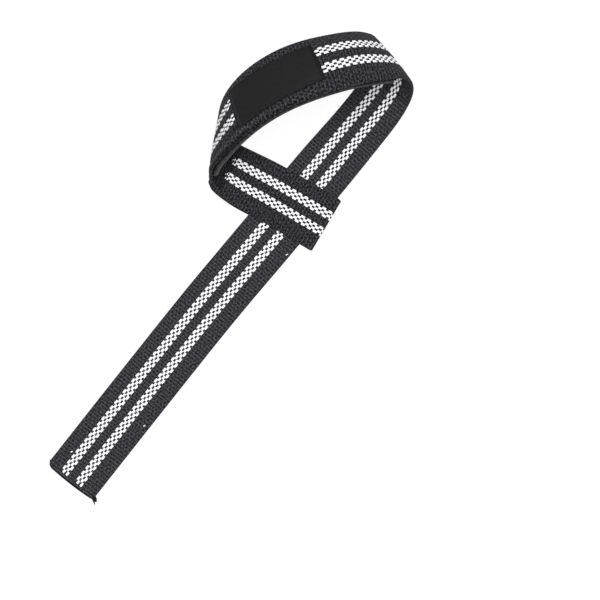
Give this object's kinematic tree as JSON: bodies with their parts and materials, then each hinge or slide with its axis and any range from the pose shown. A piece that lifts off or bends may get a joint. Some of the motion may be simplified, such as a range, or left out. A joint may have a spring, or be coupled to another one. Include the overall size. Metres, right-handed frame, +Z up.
{
  "type": "lifting strap",
  "caption": "Black woven weightlifting strap with white lattice stripes, lying with its tail drawn through the sewn end eye to form a padded wrist loop.",
  "frame": {"origin": "middle of the bounding box seen from above, at the table", "axes": "+Z up from the table, +Y along the flat tail towards the wrist loop, +X to the right seen along the tail"},
  "size_m": [0.1016, 0.3462, 0.0707],
  "materials": {
    "webbing": "matte",
    "pad": "matte",
    "label": "satin"
  },
  "bodies": {
    "root": {"strap_webbing": "webbing", "wrist_pad": "pad", "label_patch": "label"}
  },
  "joints": []
}
